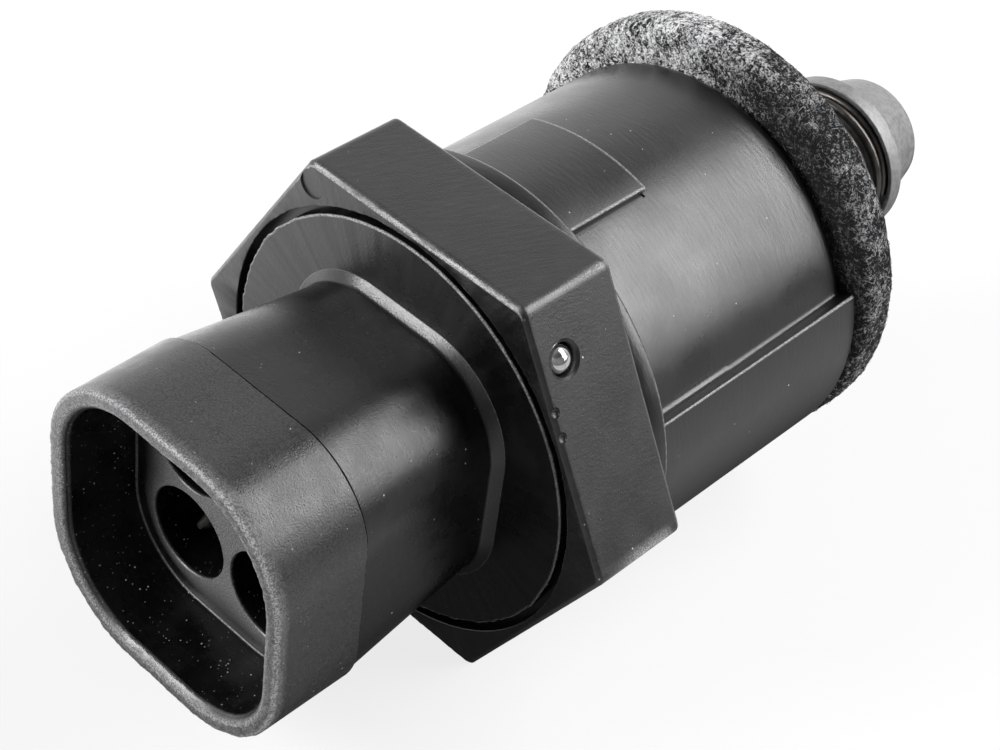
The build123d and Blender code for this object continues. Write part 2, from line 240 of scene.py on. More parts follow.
def makeDustGroup():
    group, given, made = newGroup(
        "dustSpecks", [("Scale", 3500.0), ("Size", 0.16), ("Share", 0.12)], ["Mask"]
    )
    cells = addNode(group, "ShaderNodeTexVoronoi")
    group.links.new(objectPlace(group), cells.inputs["Vector"])
    group.links.new(given["Scale"], cells.inputs["Scale"])
    pick = addNode(group, "ShaderNodeSeparateColor")
    group.links.new(cells.outputs["Color"], pick.inputs[0])
    size = mathNode(group, "MULTIPLY", given["Size"], mathNode(group, "ADD", pick.outputs[2], 0.4))
    near = mathNode(group, "LESS_THAN", cells.outputs["Distance"], size)
    chosen = mathNode(group, "LESS_THAN", pick.outputs[0], given["Share"])
    bright = mathNode(group, "MULTIPLY", near, chosen)
    group.links.new(mathNode(group, "MULTIPLY", bright, pick.outputs[1]), made["Mask"])
    return group


def makeWearGroup():
    group, given, made = newGroup("edgeWear", [("Edge", 0.0), ("Scale", 700.0), ("Amount", 0.5)], ["Mask"])
    coarse = noiseAt(group, objectPlace(group), given["Scale"], Detail=5.0, Roughness=0.7)
    limit = mathNode(group, "SUBTRACT", 1.0, given["Amount"])
    worn = rampNode(group, mathNode(group, "SUBTRACT", coarse, limit), -0.12, 0.16)
    group.links.new(mathNode(group, "MULTIPLY", given["Edge"], worn), made["Mask"])
    return group


def makeSmudgeGroup():
    group, given, made = newGroup("smudges", [("Scale", 120.0)], ["Broad", "Grit"])
    place = objectPlace(group)
    group.links.new(noiseAt(group, place, given["Scale"], Detail=4.0, Roughness=0.55), made["Broad"])
    group.links.new(noiseAt(group, place, 8000.0, Detail=2.0, Roughness=0.6), made["Grit"])
    return group


strokeGroup = makeStrokeGroup()
dustGroup = makeDustGroup()
wearGroup = makeWearGroup()
smudgeGroup = makeSmudgeGroup()
print("shader groups made")


# Black glass-filled plastic: the hexagon, the turned can and the connector
plasticFinishes = {
    "hexagon": {
        "deep": 0.004, "haze": 0.006, "worn": 0.45, "wornShare": 0.7, "dust": 0.6, "dustShare": 0.012,
        "roughness": (0.28, 0.40), "turn": 0.45, "stretch": 9.0, "round": 0.0, "strokes": 1.3, "grit": 1.6,
        "smudge": 260.0, "lumps": 0.5, "ior": 1.6, "speck": 0.18,
    },
    "can": {
        "deep": 0.003, "haze": 0.004, "worn": 0.42, "wornShare": 0.7, "dust": 0.6, "dustShare": 0.010,
        "roughness": (0.26, 0.36), "turn": 0.0, "stretch": 5.0, "round": 1.0, "strokes": 1.6, "grit": 1.0,
        "smudge": 200.0, "lumps": 0.2, "ior": 1.62, "speck": 0.18,
    },
    "connector": {
        "deep": 0.002, "haze": 0.003, "worn": 0.40, "wornShare": 0.72, "dust": 0.55, "dustShare": 0.02,
        "roughness": (0.22, 0.34), "turn": 0.0, "stretch": 5.0, "round": 1.0, "strokes": 0.9, "grit": 1.9,
        "smudge": 420.0, "lumps": 0.3, "ior": 1.52, "speck": 0.16,
    },
}


# What the three plastics share: texture scales, and how much each effect shows
plasticEffects = {
    "wearScale": 1500.0, "strokeScale": 3200.0, "dustScale": 3400.0, "speckShare": 0.6,
    "hazeRamp": (0.15, 0.42), "strokeTint": 0.012, "gritRamp": (0.40, 0.62), "gritLow": 0.3,
    "wornRough": 0.22, "dustHeight": 0.8, "bump": 0.5, "bumpDepth": 0.02,
}
broadRamp = (0.3, 0.7)


def grey(value):
    return (value, value, value * 1.02, 1)


def makePlastic(name, look, effects):
    material, tree, shader = newMaterial(name)
    edge = addNode(tree, "ShaderNodeAttribute", attribute_name="edgeWear").outputs["Fac"]
    specks = addNode(tree, "ShaderNodeAttribute", attribute_name="specks").outputs["Fac"]
    wear = useGroup(tree, wearGroup, Edge=edge, Scale=effects["wearScale"], Amount=look["wornShare"])["Mask"]
    stroke = useGroup(
        tree, strokeGroup,
        Scale=effects["strokeScale"], Turn=look["turn"], Stretch=look["stretch"], Round=look["round"],
    )
    share = mathNode(tree, "MULTIPLY", specks, effects["speckShare"])
    share = mathNode(tree, "ADD", share, look["dustShare"])
    dust = useGroup(tree, dustGroup, Scale=effects["dustScale"], Size=look["speck"], Share=share)["Mask"]
    smudge = useGroup(tree, smudgeGroup, Scale=look["smudge"])
    haze = rampNode(tree, mathNode(tree, "MULTIPLY", smudge["Broad"], stroke["Height"]), *effects["hazeRamp"])
    base = mixColor(tree, haze, grey(look["deep"]), grey(look["deep"] + look["haze"]))
    tint = mathNode(tree, "MULTIPLY", stroke["Mask"], effects["strokeTint"])
    base = mixColor(tree, tint, base, grey(look["worn"]))
    grit = rampNode(tree, smudge["Grit"], *effects["gritRamp"])
    speckled = mixColor(tree, grit, grey(look["worn"] * effects["gritLow"]), grey(look["worn"]))
    base = mixColor(tree, wear, base, speckled)
    base = mixColor(tree, dust, base, grey(look["dust"]))
    tree.links.new(base, shader.inputs["Base Color"])
    rough = rampNode(tree, smudge["Broad"], *broadRamp, *look["roughness"])
    rough = mathNode(tree, "ADD", rough, mathNode(tree, "MULTIPLY", wear, effects["wornRough"]))
    tree.links.new(rough, shader.inputs["Roughness"])
    height = weightedSum(tree, (
        (stroke["Height"], look["strokes"]), (smudge["Grit"], look["grit"]),
        (smudge["Broad"], look["lumps"]), (dust, effects["dustHeight"]),
    ))
    addBump(tree, shader, height, effects["bump"], effects["bumpDepth"])
    shader.inputs["IOR"].default_value = look["ior"]
    return material


plastics = {
    name: makePlastic(name + "Plastic", look, plasticEffects) for name, look in plasticFinishes.items()
}


# Other finishes, one for each of the record's slots: colour, metallic, roughness, texture scale and bump
slotFinishes = {
    "bright_steel": ((0.8, 0.8, 0.81), 1.0, (0.10, 0.24), 1100.0, 0.25),
    "seal_rubber": ((0.02, 0.02, 0.02), 0.0, (0.5, 0.65), 700.0, 0.3),
    "motor_steel": ((0.55, 0.56, 0.57), 1.0, (0.28, 0.42), 500.0, 0.2),
    "bronze": ((0.6, 0.42, 0.24), 1.0, (0.35, 0.5), 900.0, 0.3),
    "bobbin_plastic": ((0.72, 0.69, 0.6), 0.0, (0.4, 0.5), 400.0, 0.1),
    "copper_wire": ((0.62, 0.28, 0.13), 0.6, (0.3, 0.42), 1200.0, 0.3),
    "cast_metal": ((0.29, 0.29, 0.29), 0.6, (0.45, 0.6), 1600.0, 0.35),
    "hub_plastic": ((0.05, 0.05, 0.055), 0.0, (0.4, 0.5), 500.0, 0.2),
    "ferrite": ((0.06, 0.06, 0.065), 0.3, (0.5, 0.65), 900.0, 0.3),
    "screw_steel": ((0.3, 0.3, 0.31), 1.0, (0.3, 0.45), 700.0, 0.2),
    "spring_steel": ((0.11, 0.1, 0.095), 0.9, (0.28, 0.4), 1400.0, 0.1),
    # The tinned brass is darkened well below bare tin as painted shade, for terminals deep in the wells
    "tinned_brass": ((0.3, 0.29, 0.26), 1.0, (0.2, 0.35), 900.0, 0.1),
}
slotEffects = {
    "strokeRatio": 3.0, "turn": 0.2, "stretch": 6.0,
    "darkShare": 0.7, "toneRamp": (0.38, 0.6), "bumpDepth": 0.03,
}


def makeFinish(slot, color, metallic, roughness, scale, bump, effects):
    material, tree, shader = newMaterial(slot)
    smudge = useGroup(tree, smudgeGroup, Scale=scale)
    stroke = useGroup(
        tree, strokeGroup,
        Scale=effects["strokeRatio"] * scale, Turn=effects["turn"], Stretch=effects["stretch"], Round=1.0,
    )
    dark = tuple(effects["darkShare"] * c for c in color)
    tone = mathNode(tree, "MULTIPLY", mathNode(tree, "ADD", smudge["Broad"], stroke["Height"]), 0.5)
    base = mixColor(tree, rampNode(tree, tone, *effects["toneRamp"]), dark + (1,), color + (1,))
    tree.links.new(base, shader.inputs["Base Color"])
    tree.links.new(rampNode(tree, smudge["Broad"], *broadRamp, *roughness), shader.inputs["Roughness"])
    addBump(tree, shader, tone, bump, effects["bumpDepth"])
    shader.inputs["Metallic"].default_value = metallic
    return material


finishes = {slot: makeFinish(slot, *look, slotEffects) for slot, look in slotFinishes.items()}
slotOf = {part["node"]: part["material_slot"] for part in frame["record"]["subparts"]}
for nodeName, node in nodes.items():
    if slotOf[nodeName] in finishes:
        node.data.materials.clear()
        node.data.materials.append(finishes[slotOf[nodeName]])
print("finishes on the carried-over nodes")


# Outlines as the distance from the axis at each angle, counted from +Y towards +Z
def hexOutline(angles, apothem, corner, inset=0.0):
    flat = apothem - inset
    middle = (flat - corner) / math.cos(math.pi / 6)
    tangent = math.atan2(corner * 0.5, middle + corner * math.cos(math.pi / 6))
    away = np.abs(np.mod(angles + math.pi / 6, math.pi / 3) - math.pi / 6)
    arc = middle * np.cos(away) + np.sqrt(np.maximum(corner ** 2 - (middle * np.sin(away)) ** 2, 0))
    return np.where(away < tangent, arc, flat / np.cos(math.pi / 6 - away))


def squareOutline(angles, width, height, corner):
    halfY, halfZ = width / 2, height / 2
    c, s = np.abs(np.cos(angles)), np.abs(np.sin(angles))
    side = halfY / np.maximum(c, 1e-9)
    top = halfZ / np.maximum(s, 1e-9)
    cy, cz = halfY - corner, halfZ - corner
    along = cy * c + cz * s
    across = cy * s - cz * c
    arc = along + np.sqrt(np.maximum(corner ** 2 - across ** 2, 0))
    outline = np.where(side * s <= cz, side, arc)
    return np.where(top * c <= cy, top, outline)


def nearAngle(angles, deg, halfDeg):
    away = np.abs(np.mod(np.degrees(angles) - deg + 180, 360) - 180)
    return np.clip(1 - away / halfDeg, 0, 1)


def roughLine(angles, seed, size, count):
    draw = np.random.default_rng(seed)
    line = np.zeros(len(angles))
    for share, number in ((0.4, count), (0.35, count * 3), (0.25, count * 7)):
        lattice = draw.uniform(-1, 1, number)
        where = angles / (2 * math.pi) * number
        low = np.floor(where).astype(int)
        part = where - low
        line += share * ((1 - part) * lattice[low % number] + part * lattice[(low + 1) % number])
    return size * line


# A body of rings along the axis. A station has its place x and outline r, and may have a rounded edge,
# how ragged and worn that edge is, and how worn or dusty the surface is there.
def loftRings(stations, angles, closed, seed=1, arcSteps=3):
    flat = np.ones(len(angles))
    ends = [np.stack([station["x"] * flat, station["r"] * flat], axis=1) for station in stations]
    total = len(stations)
    rings = []
    for i, station in enumerate(stations):
        here = ends[i]
        side = station.get("worn", 0.0) * flat
        speck = station.get("specks", 0.0) * flat
        alone = not closed and i in (0, total - 1)
        if alone or not station.get("edge"):
            rings.append((here, side, speck))
            continue
        back = ends[i - 1] - here
        ahead = ends[(i + 1) % total] - here
        backLength = np.linalg.norm(back, axis=1)
        aheadLength = np.linalg.norm(ahead, axis=1)
        reach = np.minimum(station["edge"], 0.45 * np.minimum(backLength, aheadLength))[:, None]
        first = here + back / np.maximum(backLength, 1e-9)[:, None] * reach
        last = here + ahead / np.maximum(aheadLength, 1e-9)[:, None] * reach
        inward = (first + last) / 2 - here
        size = np.linalg.norm(inward, axis=1)[:, None]
        nick = roughLine(angles, seed + 17 * i, station.get("rag", 0.0), station.get("teeth", 110))[:, None]
        shift = inward / np.maximum(size, 1e-9) * nick
        for k in range(arcSteps + 1):
            t = k / arcSteps
            bend = (1 - t) ** 2 * first + 2 * t * (1 - t) * here + t ** 2 * last
            middle = 4 * t * (1 - t)
            worn = np.maximum(side, station.get("wear", 0.0) * min(1.0, 1.2 * middle) * flat)
            rings.append((bend + shift * (0.35 + 0.65 * middle), worn, speck))
    mesh = bmesh.new()
    wearLayer = mesh.verts.layers.float.new("edgeWear")
    speckLayer = mesh.verts.layers.float.new("specks")
    cosines, sines = np.cos(angles), np.sin(angles)
    grid = []
    for ring, worn, speck in rings:
        row = []
        for j in range(len(angles)):
            x, r = ring[j]
            vertex = mesh.verts.new((x * mm, r * cosines[j] * mm, r * sines[j] * mm))
            vertex[wearLayer] = worn[j]
            vertex[speckLayer] = speck[j]
            row.append(vertex)
        grid.append(row)
    for low, high in zip(grid, grid[1:] + grid[:1] if closed else grid[1:]):
        for j in range(len(angles)):
            k = (j + 1) % len(angles)
            mesh.faces.new((low[j], low[k], high[k], high[j]))
    return mesh, grid


def finishPiece(name, mesh, material, sharpDeg=38.0):
    bmesh.ops.remove_doubles(mesh, verts=mesh.verts, dist=0.0000015)
    bmesh.ops.recalc_face_normals(mesh, faces=mesh.faces)
    data = bpy.data.meshes.new(name)
    mesh.to_mesh(data)
    mesh.free()
    data.polygons.foreach_set("use_smooth", [True] * len(data.polygons))
    data.set_sharp_from_angle(angle=math.radians(sharpDeg))
    data.materials.append(material)
    return placeObject(name, data)


def bakeModifiers(piece):
    graph = bpy.context.evaluated_depsgraph_get()
    made = bpy.data.meshes.new_from_object(piece.evaluated_get(graph))
    piece.modifiers.clear()
    old = piece.data
    piece.data = made
    bpy.data.meshes.remove(old)
    return piece


def cutWith(piece, cutters):
    for cutter in cutters:
        cut = piece.modifiers.new("cut", "BOOLEAN")
        cut.operation = "DIFFERENCE"
        cut.solver = "EXACT"
        cut.object = cutter
    bakeModifiers(piece)
    for cutter in cutters:
        bpy.data.objects.remove(cutter)
    piece.data.set_sharp_from_angle(angle=math.radians(38))
    return piece


def evenShading(piece):
    weigh = piece.modifiers.new("weigh", "WEIGHTED_NORMAL")
    weigh.keep_sharp = True
    return bakeModifiers(piece)


# A turned cutter: rows of (distance from its axis, height above the face, wear)
def turnedCutter(name, place, axis, rows, around=48):
    mesh = bmesh.new()
    wearLayer = mesh.verts.layers.float.new("edgeWear")
    axis = Vector(axis).normalized()
    side = axis.cross(Vector((1, 0, 0))) if abs(axis.x) < 0.9 else axis.cross(Vector((0, 1, 0)))
    side.normalize()
    other = axis.cross(side)
    grid = []
    for radius, height, worn in rows:
        row = []
        for k in range(around):
            turn = 2 * math.pi * k / around
            out = side * math.cos(turn) + other * math.sin(turn)
            vertex = mesh.verts.new((Vector(place) + out * radius + axis * height) * mm)
            vertex[wearLayer] = worn
            row.append(vertex)
        grid.append(row)
    for low, high in zip(grid, grid[1:]):
        for k in range(around):
            mesh.faces.new((low[k], low[(k + 1) % around], high[(k + 1) % around], high[k]))
    mesh.faces.new(grid[0])
    mesh.faces.new(grid[-1])
    return finishPiece(name, mesh, plastics["hexagon"])


# Hexagonal housing with its collar, can, raised pad and raised land
housing = {
    "apothem": 18.0, "corner": 0.7, "front": -8.7, "chamfer": 0.3,
    "seatRadius": 17.3, "ledge": -7.3, "spigotBore": 15.55, "spigotEnd": -4.0,
    "collarRadius": 17.9, "collarHeight": 1.6, "collarChamfer": 0.35,
    "canRadius": 16.1, "canEnd": 24.6, "canEndRadius": 1.3,
    "padStep": 0.75, "padEnd": 10.2, "padDeg": (68, 108),
    "landStep": 1.1, "landDeg": (161, 239),
    "bossRadius": 10.4, "bossEnd": 30.2, "wellRadius": 7.3, "tubeBore": 5.0,
    "wallInner": 22.6, "motorBore": 14.6,
    "ballPlace": (-6.3, -11.82, 13.52), "ballFaceDeg": 150.0, "ballDepth": 1.0, "ballRadius": 1.15,
    "ballGap": 0.05, "ballLip": ((1.66, 0.3, 1.0), (1.46, 0.0, 1.0), (1.28, -0.12, 1.0), (1.22, -0.2, 0.4)),
    "markPlace": (-8.7, 10.0, 16.1), "markRadius": 1.15, "markDepth": 0.15,
    "dents": ((-8.35, -14.2, 11.4), (-8.35, -15.14, 9.77)), "dentRadius": 0.42,
    "points": 720,
}
# Side walls as (distance inside the nominal edge, share of the step)
padProfile = ((-0.24, 0.0), (-0.19, -0.2), (0.0, -0.2), (0.04, 0.84), (0.08, 0.93), (0.15, 0.98), (0.24, 1.0))
landProfile = ((-0.5, 0.0), (-0.33, 0.03), (-0.2, 0.09), (-0.1, 0.18), (-0.03, 0.32), (0.0, 0.45),
               (0.05, 0.9), (0.08, 0.95), (0.15, 0.985), (0.24, 1.0))
# How worn the hexagon's top right and lower right corners are at places along the axis
cornerWear = (
    (-8.0, 0.25, 0.0), (-6.2, 0.25, 0.3), (-4.4, 0.3, 1.0),
    (-2.6, 0.4, 0.9), (-1.5, 0.65, 0.8), (-0.8, 1.0, 0.0),
)


def sector(angles, span, radius, profile):
    low, high = math.radians(span[0]), math.radians(span[1])
    inside = np.minimum(angles - low, high - angles) * radius
    reach, share = zip(*profile)
    return np.interp(inside, reach, share), np.interp(inside, (0.05, 0.08, 0.15, 0.24), (0, 0.9, 0.9, 0))


def housingAngles(h):
    angles = [np.linspace(0, 2 * math.pi, h["points"], endpoint=False)]
    for span, profile in ((h["padDeg"], padProfile), (h["landDeg"], landProfile)):
        reach = np.array([row[0] for row in profile]) / h["canRadius"]
        angles += [math.radians(span[0]) + reach, math.radians(span[1]) - reach]
    return np.unique(np.round(np.mod(np.concatenate(angles), 2 * math.pi), 5))


def housingCutters(h):
    normal = (0, math.cos(math.radians(h["ballFaceDeg"])), math.sin(math.radians(h["ballFaceDeg"])))
    mouth = Vector(h["ballPlace"]) + Vector(normal) * h["ballDepth"]
    hole = h["ballRadius"] + h["ballGap"]
    bowl = [(hole * math.cos(t), -h["ballDepth"] - hole * math.sin(t), 0.0) for t in np.linspace(0, 1.5, 8)]
    cutters = [turnedCutter("ballHole", mouth, normal, list(h["ballLip"]) + bowl)]
    r, deep = h["markRadius"], h["markDepth"]
    rows = [(r + 0.3, 0.3, 0.4), (r + 0.03, 0.0, 0.45), (r - 0.04, -deep, 0.25), (0.6 * r, -deep, 0.0)]
    cutters.append(turnedCutter("ejectorMark", h["markPlace"], (-1, 0, 0), rows))
    for number, place in enumerate(h["dents"]):
        size = h["dentRadius"]
        rows = [(size * math.cos(t), size * math.sin(t) * 0.6, 0.35) for t in np.linspace(1.3, -1.4, 12)]
        cutters.append(turnedCutter("dent" + str(number), place, normal, rows, 24))
    return cutters


def buildHousing(h):
    angles = housingAngles(h)
    pad, padEdge = sector(angles, h["padDeg"], h["canRadius"], padProfile)
    land, landEdge = sector(angles, h["landDeg"], h["canRadius"], landProfile)
    edges = np.maximum(padEdge, landEdge)
    outer = hexOutline(angles, h["apothem"], h["corner"])
    inset = hexOutline(angles, h["apothem"], h["corner"], h["chamfer"])
    landed = h["canRadius"] + h["landStep"] * land
    padded = landed + h["padStep"] * pad
    topFlat = np.interp(np.degrees(angles), (50, 58, 119, 121.5), (0.15, 1, 1, 0.0))
    front, rear = h["front"], h["collarHeight"]
    stations = [
        {"x": h["ledge"], "r": h["spigotBore"]},
        {"x": h["ledge"], "r": h["seatRadius"]},
        {"x": front, "r": h["seatRadius"], "edge": 0.1, "rag": 0.06, "wear": 0.1},
        {"x": front, "r": inset, "edge": 0.12, "rag": 0.04, "wear": 1.0 * topFlat},
        {"x": front + h["chamfer"], "r": outer, "edge": 0.12, "rag": 0.02, "wear": 0.15 * topFlat},
    ]
    topCorner, lowCorner = nearAngle(angles, 120, 1.2), nearAngle(angles, 180, 2.4)
    for x, top, low in cornerWear:
        stations.append({"x": x, "r": outer, "worn": np.maximum(top * topCorner, low * lowCorner)})
    stations += [
        {"x": -h["chamfer"], "r": outer, "edge": 0.15, "rag": 0.02, "wear": 0.25 + 0.7 * topCorner},
        {"x": 0, "r": inset, "edge": 0.12, "wear": 0.25},
        {"x": 0, "r": h["collarRadius"] - 0.25},
        {"x": 0.35, "r": h["collarRadius"] - 0.12},
        {"x": rear - h["collarChamfer"], "r": h["collarRadius"], "edge": 0.15, "wear": 0.4},
        {"x": rear, "r": h["collarRadius"] - h["collarChamfer"], "edge": 0.15, "wear": 0.3},
        {"x": rear, "r": padded + 0.02, "worn": edges},
        {"x": rear + 0.05, "r": padded, "worn": edges},
        {"x": h["padEnd"] - 0.3, "r": padded, "worn": edges},
        {"x": h["padEnd"] - 0.10, "r": padded, "worn": np.maximum(edges, 0.6 * pad)},
        {"x": h["padEnd"] - 0.03, "r": padded - 0.03 * pad, "worn": np.maximum(edges, 0.8 * pad)},
        {"x": h["padEnd"], "r": padded - 0.10 * pad, "worn": np.maximum(edges, 0.6 * pad)},
        {"x": h["padEnd"] + 0.02, "r": landed, "worn": landEdge},
        {"x": h["padEnd"] + 0.25, "r": landed, "worn": landEdge},
    ]
    for k in range(7):
        t = math.pi / 2 * k / 6
        fillet = h["canRadius"] - h["canEndRadius"] * (1 - math.cos(t))
        along = h["canEnd"] - h["canEndRadius"] * (1 - math.sin(t))
        drop = max(0.0, along - (h["canEnd"] - 0.15))
        stations.append({"x": along, "r": fillet + land * (landed - fillet - drop), "worn": landEdge})
    stations += [
        {"x": h["canEnd"], "r": h["bossRadius"]},
        {"x": h["bossEnd"], "r": h["bossRadius"], "edge": 0.25, "wear": 0.4},
        {"x": h["bossEnd"], "r": h["wellRadius"], "edge": 0.2, "wear": 0.3},
        {"x": h["canEnd"], "r": h["wellRadius"]},
        {"x": h["canEnd"], "r": h["tubeBore"]},
        {"x": h["wallInner"], "r": h["tubeBore"]},
        {"x": h["wallInner"], "r": h["motorBore"]},
        {"x": h["spigotEnd"], "r": h["motorBore"]},
        {"x": h["spigotEnd"], "r": h["spigotBore"]},
    ]
    mesh, _ = loftRings(stations, angles, closed=True, seed=3)
    piece = cutWith(finishPiece("hexHousing", mesh, plastics["hexagon"]), housingCutters(h))
    piece.data.materials.clear()
    piece.data.materials.append(plastics["hexagon"])
    piece.data.materials.append(plastics["can"])
    for face in piece.data.polygons:
        face.material_index = 1 if face.center.x > 0.00001 else 0
    return evenShading(piece)


hexHousing = buildHousing(housing)
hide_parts("hex_housing")
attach(hexHousing, "housing")
print("housing:", len(hexHousing.data.polygons), "faces")


# Polished steel ball pressed into the hexagon
def buildBall(h):
    mesh = bmesh.new()
    place = Matrix.Translation(Vector(h["ballPlace"]) * mm)
    bmesh.ops.create_uvsphere(mesh, u_segments=48, v_segments=24, radius=h["ballRadius"] * mm, matrix=place)
    return finishPiece("sealingBall", mesh, finishes["bright_steel"], 180)


sealingBall = buildBall(housing)
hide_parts("sealing_ball")
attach(sealingBall, "housing")


# Connector: disc, flared foot, drafted neck, square shroud and cavity with four wells
connector = {
    "spigotEnd": -4.0, "ringInner": 12.2, "ringOuter": 14.4, "plateFront": -3.3, "spigotRadius": 15.5,
    "groove": (-4.9, -6.4), "grooveRadius": 14.3, "ledge": -7.3, "discRadius": 16.65, "front": -8.7,
    "foot": (21.9, 22.5, 7.8), "footFlare": 0.7, "shroudRear": -22.4, "seam": 0.2, "seamDepth": 0.25,
    "neckRear": (22.3, 22.9, 6.7), "shroudBack": (22.7, 23.3, 6.9), "shroud": (23.7, 24.3, 8.8),
    "wall": 1.6, "rim": -30.7, "rimEdge": 0.4, "leadIn": 0.5, "cavityFloor": -24.5,
    "floorSize": (19.75, 20.35, 6.83), "rimWearDeg": (0, 40, 100, 150, 230, 270, 330),
    "rimWear": (0.6, 1.0, 1.0, 0.25, 0.2, 0.9, 0.6),
    "wellRows": ((0, 0.08, 0.5), (0.08, 0, 0.3), (0.3, 0, 0)),
    "wellRadius": 3.75, "wellPitch": 8.3, "wellDepth": 9.0, "wellPoints": 64, "points": 480,
}


def insetSizes(sizes, wall):
    width, height, corner = sizes
    return width - 2 * wall, height - 2 * wall, corner - wall


def edgesOf(mesh, ring):
    return [mesh.edges.get((ring[j], ring[(j + 1) % len(ring)])) for j in range(len(ring))]


def addWells(mesh, ring, c):
    wearLayer = mesh.verts.layers.float["edgeWear"]
    speckLayer = mesh.verts.layers.float["specks"]
    loops = edgesOf(mesh, ring)
    half = c["wellPitch"] / 2
    for y, z in ((half, half), (-half, half), (-half, -half), (half, -half)):
        rows = []
        for x, grow, worn in c["wellRows"] + ((c["wellDepth"], 0, 0),):
            row = []
            for k in range(c["wellPoints"]):
                turn = 2 * math.pi * k / c["wellPoints"]
                radius = c["wellRadius"] + grow
                place = (c["cavityFloor"] + x, y + radius * math.cos(turn), z + radius * math.sin(turn))
                vertex = mesh.verts.new(Vector(place) * mm)
                vertex[wearLayer] = worn
                vertex[speckLayer] = 0.5
                row.append(vertex)
            rows.append(row)
        for low, high in zip(rows, rows[1:]):
            for k in range(c["wellPoints"]):
                j = (k + 1) % c["wellPoints"]
                mesh.faces.new((low[k], low[j], high[j], high[k]))
        mesh.faces.new(rows[-1])
        loops += edgesOf(mesh, rows[0])
    bmesh.ops.triangle_fill(mesh, edges=loops, use_beauty=True)


def buildConnector(c):
    angles = np.linspace(0, 2 * math.pi, c["points"], endpoint=False)
    inner = insetSizes(c["shroud"], c["wall"])
    foot = squareOutline(angles, *c["foot"])
    neckFront = squareOutline(angles, *insetSizes(c["foot"], c["footFlare"]))
    neckRear = squareOutline(angles, *c["neckRear"])
    shroudBack = squareOutline(angles, *c["shroudBack"])
    shroud = squareOutline(angles, *c["shroud"])
    cavity = squareOutline(angles, *inner)
    mouth = squareOutline(angles, *insetSizes(inner, -c["leadIn"]))
    floor = squareOutline(angles, *c["floorSize"])
    near, far = c["groove"]
    seam = c["shroudRear"] + c["seam"]
    rimWear = np.interp(np.degrees(angles), c["rimWearDeg"], c["rimWear"])
    stations = [
        {"x": c["spigotEnd"], "r": c["ringInner"]},
        {"x": c["plateFront"], "r": c["ringInner"]},
        {"x": c["plateFront"], "r": c["ringOuter"]},
        {"x": c["spigotEnd"], "r": c["ringOuter"]},
        {"x": c["spigotEnd"], "r": c["spigotRadius"]},
        {"x": near, "r": c["spigotRadius"]},
        {"x": near, "r": c["grooveRadius"]},
        {"x": far, "r": c["grooveRadius"]},
        {"x": far, "r": c["spigotRadius"]},
        {"x": c["ledge"], "r": c["spigotRadius"]},
        {"x": c["ledge"], "r": c["discRadius"]},
        {"x": c["front"], "r": c["discRadius"], "edge": 0.2, "rag": 0.2, "teeth": 60, "wear": rimWear},
        {"x": c["front"], "r": foot, "edge": 0.05, "wear": 0.15},
        {"x": c["front"] - c["footFlare"], "r": neckFront, "edge": 0.22},
        {"x": seam, "r": neckRear},
        {"x": seam - 0.04, "r": neckRear - c["seamDepth"]},
        {"x": c["shroudRear"] + 0.03, "r": neckRear - c["seamDepth"]},
        {"x": c["shroudRear"], "r": shroudBack, "edge": 0.06, "rag": 0.03, "wear": 0.15, "worn": 0.07},
        {"x": c["rim"] + 1.2, "r": shroud * 0.855 + shroudBack * 0.145, "worn": 0.09, "specks": 0.05},
        {"x": c["rim"], "r": shroud, "edge": c["rimEdge"], "rag": 0.08, "wear": 0.95, "worn": 0.4,
         "specks": 0.3},
        {"x": c["rim"], "r": mouth, "edge": 0.25, "rag": 0.06, "wear": 0.8, "worn": 0.5, "specks": 0.5},
        {"x": c["rim"] + c["leadIn"], "r": cavity, "edge": 0.2, "rag": 0.03, "wear": 0.15, "specks": 0.7},
        {"x": c["rim"] + 1.4, "r": cavity * 0.75 + floor * 0.25 + 0.09, "specks": 0.7},
        {"x": c["cavityFloor"] - 0.4, "r": floor + 0.02, "specks": 0.7},
        {"x": c["cavityFloor"], "r": floor, "edge": 0.3, "wear": 0.3, "specks": 0.5},
        {"x": c["cavityFloor"], "r": floor - 0.9, "specks": 0.5},
    ]
    mesh, grid = loftRings(stations, angles, closed=False, seed=8)
    addWells(mesh, grid[-1], c)
    mesh.faces.new(grid[0])
    return evenShading(finishPiece("connectorShell", mesh, plastics["connector"]))


connectorShell = buildConnector(connector)
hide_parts("connector_shell")
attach(connectorShell, "housing")
print("connector:", len(connectorShell.data.polygons), "faces")


# Felt ring. Its three tones are pale, pale darkened by painted shade, and black.
felt = {
    "radius": 17.9, "bore": 11.8, "start": 24.7, "thickness": 3.8, "edge": 1.1, "lift": 1.3, "around": 420,
    "lumps": 0.09, "lumpScale": 900.0, "fineRatio": 2.7, "fineShare": 0.6,
    "flatReach": 0.4, "flatShare": 0.25,
    # Painted shade on the felt: its ramp outward in mm from the felt's centre, the share left at the rim, and
    # its ramp from right to left in mm
    "innerPaintedShade": (16.9, 18.2), "innerLeast": 0.66, "sidePaintedShade": (-8.0, 6.0),
    "layers": (
        (3000.0, 0.5, {"Detail": 3.0, "Roughness": 0.65, "Distortion": 1.0}),
        (8000.0, 0.32, {"Detail": 3.0, "Roughness": 0.7, "Distortion": 0.8}),
        (520.0, 0.18, {"Detail": 2.0, "Roughness": 0.5}),
    ),
    # The first value here is how far painted shade tips the felt's speckle towards black
    "paintedShadeShift": 0.055, "paleRamp": (0.44, 0.59), "bump": 0.7, "bumpDepth": 0.12,
    "tones": ((0.85, 0.85, 0.86, 1), (0.17, 0.17, 0.175, 1), (0.010, 0.010, 0.011, 1)),
    "fibres": 9000, "fibreLength": 0.6, "fibreWidth": 0.014, "seed": 11,
    # How far painted shade tips the fibres towards black; the middle fibre tone is pale darkened by painted
    # shade
    "fibrePaintedShadeShift": 0.45, "fibreRamp": (0.3, 0.6),
    "fibreTones": ((0.9, 0.9, 0.91, 1), (0.3, 0.3, 0.305, 1), (0.02, 0.02, 0.021, 1)),
}
